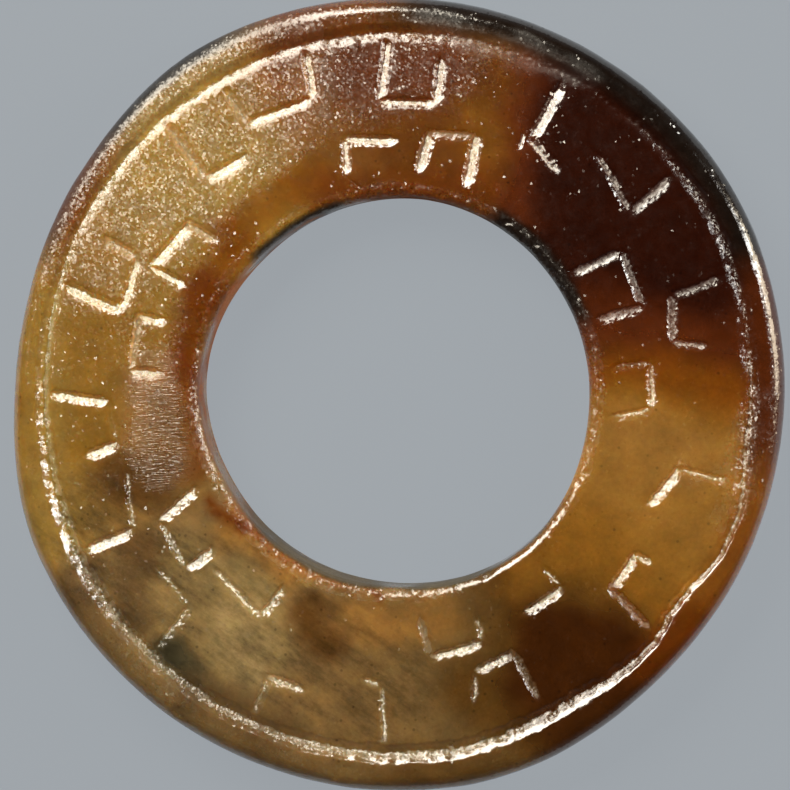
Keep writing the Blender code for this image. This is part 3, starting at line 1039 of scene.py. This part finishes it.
# %% Mottle, flecks, veins and specks
VEIN_SLANT = math.radians(35)
VEINS_DRAWN = (0.35, 1, 1)
SPECK_SPACING = 1.1
mottle = ranged(tree, grain_noise(tree, place, 1.8, 4.0), 0.3, 0.7, 0.84, 1.16)
fleck = ranged(tree, grain_noise(tree, place, 0.3, 2.0), 0.3, 0.7, 0.92, 1.08)
shade = joined(tree, "MULTIPLY", mottle, fleck)
slanted = add(tree, "ShaderNodeVectorRotate", rotation_type="Z_AXIS", angle=VEIN_SLANT)
tree.links.new(place, slanted.inputs["Vector"])
drawn = vector_sum(tree, "MULTIPLY", slanted.outputs["Vector"], VEINS_DRAWN)
marble = ranged(tree, grain_noise(tree, drawn, 1.5, 6.0, 0.68), 0.34, 0.66, -0.45, 0.36)
shade = joined(tree, "ADD", shade, joined(tree, "MULTIPLY", marble, weathered))
seeds = add(tree, "ShaderNodeTexVoronoi", scale=1 / (SPECK_SPACING * MM))
tree.links.new(place, seeds.inputs["Vector"])
speck = ranged(tree, seeds.outputs["Distance"], 0.06, 0.13, 0.62, 1.0)
shade = joined(tree, "MULTIPLY", shade, speck)
tint = add(tree, "ShaderNodeHueSaturation")
tree.links.new(painted, tint.inputs["Color"])
tree.links.new(shade, tint.inputs["Value"])
tree.links.new(tint.outputs["Color"], shader.inputs["Base Color"])
print("with its colour the jade has", len(tree.nodes), "nodes")

# %% [markdown]
# ## Light in the body of the stone
# Light goes into pale jade and comes out again a little further on, while dark jade swallows it. So
# the subsurface weight follows the red of the painted colour. Red light travels furthest in the
# stone, and blue least.

# %% Body light, in the pale stone only
DARK_RED = 0.075
PALE_RED = 0.15
channels = add(tree, "ShaderNodeSeparateColor")
tree.links.new(painted, channels.inputs["Color"])
glow = ranged(tree, channels.outputs["Red"], DARK_RED, PALE_RED, 0.0, 1.0)
tree.links.new(glow, shader.inputs["Subsurface Weight"])
shader.inputs["Subsurface Radius"].default_value = (1.0, 0.45, 0.18)
shader.inputs["Subsurface Scale"].default_value = 1.5 * MM
print("body light starts at a red of", DARK_RED, "and is full at", PALE_RED)

# %% [markdown]
# ## Gloss
# The polish is a little uneven. It is rougher in the cuts, on strong grain and on the wheel lines,
# and nearly matt where nobody polished. The glaze is the shader's coat, a clear gloss over the
# first. Jade bends light more than glass does, so it mirrors a little more too.

# %% Roughness and glaze
CUT_ROUGHER = 0.13
GRAIN_ROUGHER = 0.19
STREAKS_ROUGHER = 0.12
BARE_ROUGHER = 0.8
rough = ranged(tree, grain_noise(tree, place, 0.8, 4.0), 0.3, 0.7, 0.13, 0.21)
rough = joined(tree, "ADD", rough, joined(tree, "MULTIPLY", cut, CUT_ROUGHER))
uncut = joined(tree, "SUBTRACT", 1.0, cut)
rolling = joined(tree, "MULTIPLY", grainy, uncut)
rough = joined(tree, "ADD", rough, ranged(tree, rolling, 0.3, 0.95, 0.0, GRAIN_ROUGHER))
rough = joined(tree, "ADD", rough, joined(tree, "MULTIPLY", streaky, STREAKS_ROUGHER))
rough = joined(tree, "ADD", rough, ranged(tree, polish, 0.0, 1.0, BARE_ROUGHER, 0.0))
tree.links.new(rough, shader.inputs["Roughness"])
tree.links.new(glazed, shader.inputs["Coat Weight"])
shader.inputs["IOR"].default_value = 1.58
shader.inputs["Specular IOR Level"].default_value = 1.0
shader.inputs["Specular Tint"].default_value = (1.0, 0.97, 0.9, 1)
shader.inputs["Coat IOR"].default_value = 1.6
shader.inputs["Coat Roughness"].default_value = 0.12
print("with its gloss the jade has", len(tree.nodes), "nodes")

# %% [markdown]
# ## Pits, rough floors and wheel lines
# The finest relief is too small for the mesh, so it is a bump: pits all over the skin, roughness in
# the cuts, and at the left of the bore fine lines that a wheel left across the stone. The lines are
# noise too, drawn out from left to right.

# %% The bump
BUMP_DEPTH = 0.05
WHEEL_DRAWN = (0.2, 1, 1)
pits = joined(tree, "MULTIPLY", grain_noise(tree, place, 0.12, 1.0), 0.12)
cut_rough = joined(tree, "MULTIPLY", cut, grain_noise(tree, place, 0.2, 3.0))
surface = joined(tree, "ADD", pits, cut_rough)
wheel_lines = grain_noise(tree, vector_sum(tree, "MULTIPLY", place, WHEEL_DRAWN), 0.12, 2.0)
wheel_lines = joined(tree, "MULTIPLY", wheel_lines, streaky)
surface = joined(tree, "ADD", surface, joined(tree, "MULTIPLY", wheel_lines, 1.2))
relief = add(tree, "ShaderNodeBump", strength=1.0, distance=BUMP_DEPTH * MM)
tree.links.new(surface, relief.inputs["Height"])
print("the bump is", BUMP_DEPTH, "mm deep")

# %% [markdown]
# ## Facets and sparks
# The stone sparkles because it is made of small crystals, and each one is turned its own way. A
# Voronoi texture gives every crystal a random colour, and we read that as a push on the shading
# normal. The grain says how far the crystals are turned on the face, patch by patch, and the foil
# says it in the cuts. Even on the smooth side a few catch the light: the sparks are the crystals
# whose push points up the most. The lean of the walls comes last.


# %% Turn the crystals
def facet_turns(tree, place, grain):
    """A random push for each small crystal, about this many millimetres across."""
    cells = add(tree, "ShaderNodeTexVoronoi", scale=1 / (grain * MM))
    tree.links.new(place, cells.inputs["Vector"])
    return vector_sum(tree, "SUBTRACT", cells.outputs["Color"], (0.5, 0.5, 0.5))


FACE_CRYSTAL = 0.15
CUT_CRYSTAL = 0.16
SPARK_PUSH = 0.4
face_facets = facet_turns(tree, place, FACE_CRYSTAL)
facets = add(tree, "ShaderNodeMix", data_type="VECTOR")
tree.links.new(cut, facets.inputs["Factor"])
tree.links.new(face_facets, facets.inputs["A"])
tree.links.new(facet_turns(tree, place, CUT_CRYSTAL), facets.inputs["B"])
patches = ranged(tree, grain_noise(tree, place, 0.9, 2.0), 0.35, 0.65, 0.28, 0.48)
face_push = joined(tree, "MULTIPLY", joined(tree, "MULTIPLY", grainy, patches), uncut)
upward = add(tree, "ShaderNodeSeparateXYZ")
tree.links.new(face_facets, upward.inputs["Vector"])
spark = ranged(tree, upward.outputs["Z"], 0.42, 0.44, 0.0, SPARK_PUSH)
face_push = joined(tree, "ADD", face_push, joined(tree, "MULTIPLY", spark, uncut))
strength = joined(tree, "ADD", face_push, crumpled)
print("crystals are about", FACE_CRYSTAL, "mm on the face and", CUT_CRYSTAL, "mm in the cuts")

# %% Add the turns and the lean to the normal
turned = add(tree, "ShaderNodeVectorMath", operation="SCALE")
tree.links.new(facets.outputs["Result"], turned.inputs[0])
tree.links.new(strength, turned.inputs["Scale"])
faceted = vector_sum(tree, "ADD", relief.outputs["Normal"], turned.outputs["Vector"])
leant = vector_sum(tree, "ADD", faceted, leaning)
unit = add(tree, "ShaderNodeVectorMath", operation="NORMALIZE")
tree.links.new(leant, unit.inputs[0])
tree.links.new(unit.outputs["Vector"], shader.inputs["Normal"])
print("the whole jade has", len(tree.nodes), "nodes")

# %% [markdown]
# ## In the ring's place
# The dressed ring rides on the CAD part's only body and takes the place of its plain ring, and its
# finish has a slot of its own, named jade.

# %% Dress the ring
ring_mesh.materials.clear()
ring_mesh.materials.append(jade)
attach(carved, "root")
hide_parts("jade_ring")
print("the ring wears", ring_mesh.materials[0].name)

# %% [markdown]
# ## The floor
# The ring lies on a plain, pale, grey-blue floor. A real photographer would light the backdrop by
# itself, so that it stays even whatever the lamps on the object do. Here the floor glows by itself,
# and takes only a little from the lamps, which keeps the ring's shadow faint.

# %% A floor that glows
FLOOR_SIZE = 4.0
FLOOR_COLOUR = (0.026, 0.029, 0.032, 1)
GLOW_COLOUR = (0.36, 0.39, 0.42, 1)
FLOOR_GLOW = 0.89
bpy.ops.mesh.primitive_plane_add(size=FLOOR_SIZE)
floor = bpy.context.object
floor.name = "floor"
floor_paint = bpy.data.materials.new("pale_floor")
floor_paint.use_nodes = True
floor_shader = floor_paint.node_tree.nodes["Principled BSDF"]
floor_shader.inputs["Base Color"].default_value = FLOOR_COLOUR
floor_shader.inputs["Emission Color"].default_value = GLOW_COLOUR
floor_shader.inputs["Emission Strength"].default_value = FLOOR_GLOW
floor_shader.inputs["Roughness"].default_value = 0.9
floor_shader.inputs["Specular IOR Level"].default_value = 0.1
floor.data.materials.append(floor_paint)
print("the floor is", FLOOR_SIZE, "m wide")

# %% [markdown]
# ## Lights
# The key light is large and near, at the upper left, and low enough that the flat face doesn't
# mirror it into the camera while the walls of the strokes do. A second one stands low at the right
# and rakes over the dark side, and beside it a narrow one draws a thin highlight along the edge
# there. A wide, warm fill at the lower right lifts the shadows. It is hidden from reflections,
# because a large light in the polish would look like haze.

# %% Soft lights around the ring
centre = np.array((axis[0], axis[1], THICKNESS / 2))


def toward(azimuth, off_axis):
    """The direction at this azimuth, this many degrees off the ring's axis."""
    turn, tip = math.radians(azimuth), math.radians(off_axis)
    return np.array((math.sin(tip) * math.cos(turn), math.sin(tip) * math.sin(turn), math.cos(tip)))


def soft_light(name, azimuth, off_axis, distance, size, power, colour=(1, 1, 1)):
    """An area light that looks at the ring's centre, as wide and as tall as size says."""
    lamp = bpy.data.lights.new(name, "AREA")
    lamp.shape = "RECTANGLE"
    lamp.size, lamp.size_y = (side * MM for side in size)
    lamp.energy = power
    lamp.color = colour
    holder = bpy.data.objects.new(name, lamp)
    bpy.context.scene.collection.objects.link(holder)
    place = Vector((centre + toward(azimuth, off_axis) * distance) * MM)
    holder.location = place
    holder.rotation_euler = (Vector(centre * MM) - place).to_track_quat("-Z", "Y").to_euler()
    print(name, "light:", power, "W,", distance, "mm away")
    return holder


soft_light("key", 127, 47, 230, (170, 150), 0.76, (1, 0.94, 0.84))
soft_light("side", 12, 72, 260, (120, 120), 0.25, (1, 0.88, 0.7))
soft_light("edge", 19, 54, 260, (30, 140), 0.18)
fill = soft_light("fill", 318, 50, 400, (400, 400), 0.26, (1, 0.86, 0.68))
fill.visible_glossy = False

# %% [markdown]
# ## The sky
# What isn't lamp or floor shows in the polish too. The sky is nearly black overhead, so that the
# flat face mirrors nothing into the camera and keeps its depth, and a little brighter near the
# horizon, where only the edges and the steep walls mirror it.

# %% A sky that is dark overhead
LOW_SKY = (0.07, 0.076, 0.082, 1)
HIGH_SKY = (0.003, 0.003, 0.004, 1)
world = bpy.data.worlds.new("studio")
bpy.context.scene.world = world
world.use_nodes = True
sky = world.node_tree
split = add(sky, "ShaderNodeSeparateXYZ")
sky.links.new(add(sky, "ShaderNodeTexCoord").outputs["Generated"], split.inputs["Vector"])
ramp = add(sky, "ShaderNodeValToRGB")
sky.links.new(split.outputs["Z"], ramp.inputs["Fac"])
low_stop, high_stop = ramp.color_ramp.elements
low_stop.position, low_stop.color = 0.15, LOW_SKY
high_stop.position, high_stop.color = 0.6, HIGH_SKY
sky.links.new(ramp.outputs["Color"], sky.nodes["Background"].inputs["Color"])
print("the sky darkens from a height of", low_stop.position, "to", round(high_stop.position, 2))

# %% [markdown]
# ## The camera
# The ring is seen from almost straight above. A narrow strip of the bore's wall shows at the left and
# the lower left, so the camera leans a few degrees to the right and a little towards the top. It
# stands well back with a long lens, as one does with small things, and it aims a little off the
# bore's axis, so that the ring sits in the picture where it should.

# %% The camera
CAMERA_DISTANCE = 320.0
LEAN_RIGHT = math.radians(5.2)
LEAN_UP = math.radians(2.0)
AIM_LEFT = 0.264
AIM_DOWN = 0.176
LENS = 199.05
SENSOR_WIDTH = 36.0
NEAREST_SEEN = 0.01
to_camera = np.array(
    (
        math.sin(LEAN_RIGHT) * math.cos(LEAN_UP),
        math.sin(LEAN_UP),
        math.cos(LEAN_RIGHT) * math.cos(LEAN_UP),
    )
)
image_right = np.cross(-to_camera, (0, 1, 0))
image_right /= np.linalg.norm(image_right)
image_up = np.cross(image_right, -to_camera)
aim = centre - AIM_LEFT * image_right - AIM_DOWN * image_up
camera_data = bpy.data.cameras.new("camera")
camera_data.lens = LENS
camera_data.sensor_width = SENSOR_WIDTH
camera_data.clip_start = NEAREST_SEEN
camera = bpy.data.objects.new("camera", camera_data)
bpy.context.scene.collection.objects.link(camera)
camera.location = Vector((aim + to_camera * CAMERA_DISTANCE) * MM)
basis = np.column_stack((image_right, image_up, to_camera))
camera.rotation_euler = Matrix(basis.tolist()).to_euler()
bpy.context.scene.camera = camera
bpy.context.scene.view_settings.view_transform = "Standard"
print("the camera is", CAMERA_DISTANCE, "mm away, with a", LENS, "mm lens")
